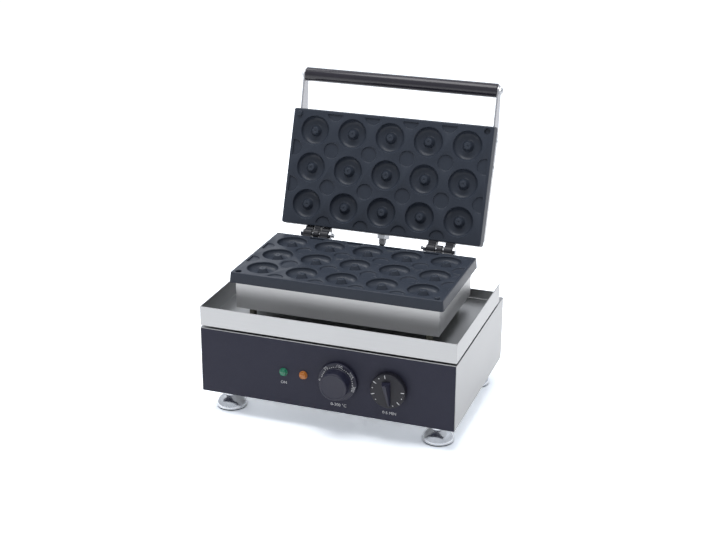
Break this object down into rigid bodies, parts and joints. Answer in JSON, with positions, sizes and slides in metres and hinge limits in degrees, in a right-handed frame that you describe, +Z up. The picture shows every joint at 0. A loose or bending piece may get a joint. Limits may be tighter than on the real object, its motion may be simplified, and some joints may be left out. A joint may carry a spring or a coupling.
{
  "type": "mini donut maker",
  "caption": "Countertop ring-cake baker: two hinged cast plates with ring cavities over a drip tray and a stainless base with temperature and timer knobs.",
  "frame": {"origin": "centre of the overall bounding box on the floor under the feet, lid open", "axes": "+Z up, -Y towards the front panel with the knobs, +X to the right seen from the front"},
  "size_m": [0.38, 0.364, 0.4399],
  "materials": {
    "stainless_sheet": "brushed stainless sheet",
    "panel_black": "satin black",
    "chrome": "polished",
    "plate_coating": "dark non-stick coating",
    "hinge_black": "black",
    "bright_steel": "bright",
    "grip_plastic": "satin black",
    "knob_plastic": "black",
    "green_lens": "clear green",
    "amber_lens": "clear amber",
    "gland_black": "black",
    "sleeve_black": "black",
    "mica": "pressed mica in steel",
    "mineral_wool": "pressed fibre",
    "fibre_strip": "fibre board",
    "copper": "plain",
    "switch_plastic": "moulded"
  },
  "bodies": {
    "base": {"base_housing": "stainless_sheet", "drip_tray": "stainless_sheet", "lower_heater_box": "stainless_sheet", "bottom_plate": "stainless_sheet", "front_panel": "panel_black", "feet": "chrome", "lower_plate": "plate_coating", "lower_hinge_leaves": "hinge_black", "hinge_pins": "bright_steel", "base_sleeve_gland": "bright_steel", "support_post_front_left": "bright_steel", "support_post_front_right": "bright_steel", "support_post_rear_left": "bright_steel", "support_post_rear_right": "bright_steel", "green_lamp_lens": "green_lens", "amber_lamp_lens": "amber_lens", "lead_inlet": "gland_black", "lead_sleeve": "sleeve_black", "lower_heater_strips": "mica", "lower_insulation": "mineral_wool", "tray_strips": "fibre_strip", "thermostat_bulb": "copper", "thermostat_body": "switch_plastic", "timer_body": "switch_plastic", "lamp_bodies": "switch_plastic", "terminal_block": "switch_plastic"},
    "lid": {"upper_plate": "plate_coating", "upper_heater_box": "stainless_sheet", "upper_heater_strips": "mica", "upper_insulation": "mineral_wool", "upper_hinge_leaves": "hinge_black", "handle_arm_left": "stainless_sheet", "handle_arm_right": "stainless_sheet", "handle_grip": "grip_plastic", "handle_cap_nuts": "bright_steel", "lid_sleeve_gland": "bright_steel"},
    "temperature_knob": {"temperature_knob": "knob_plastic"},
    "timer_knob": {"timer_knob": "knob_plastic"}
  },
  "joints": [
    {"name": "lid_hinge", "type": "hinge", "parent": "base", "child": "lid", "pos_m": [0, 0.06651, 0.20765], "axis": [1, 0, 0], "range_deg": [0, 110], "deforming": ["lead_sleeve"]},
    {"name": "temperature_turn", "type": "hinge", "parent": "base", "child": "temperature_knob", "pos_m": [0.0205, -0.15799, 0.0825], "axis": [0, 1, 0], "range_deg": [0, 270]},
    {"name": "timer_turn", "type": "hinge", "parent": "base", "child": "timer_knob", "pos_m": [0.0955, -0.15799, 0.0825], "axis": [0, 1, 0], "range_deg": [0, 300]}
  ]
}
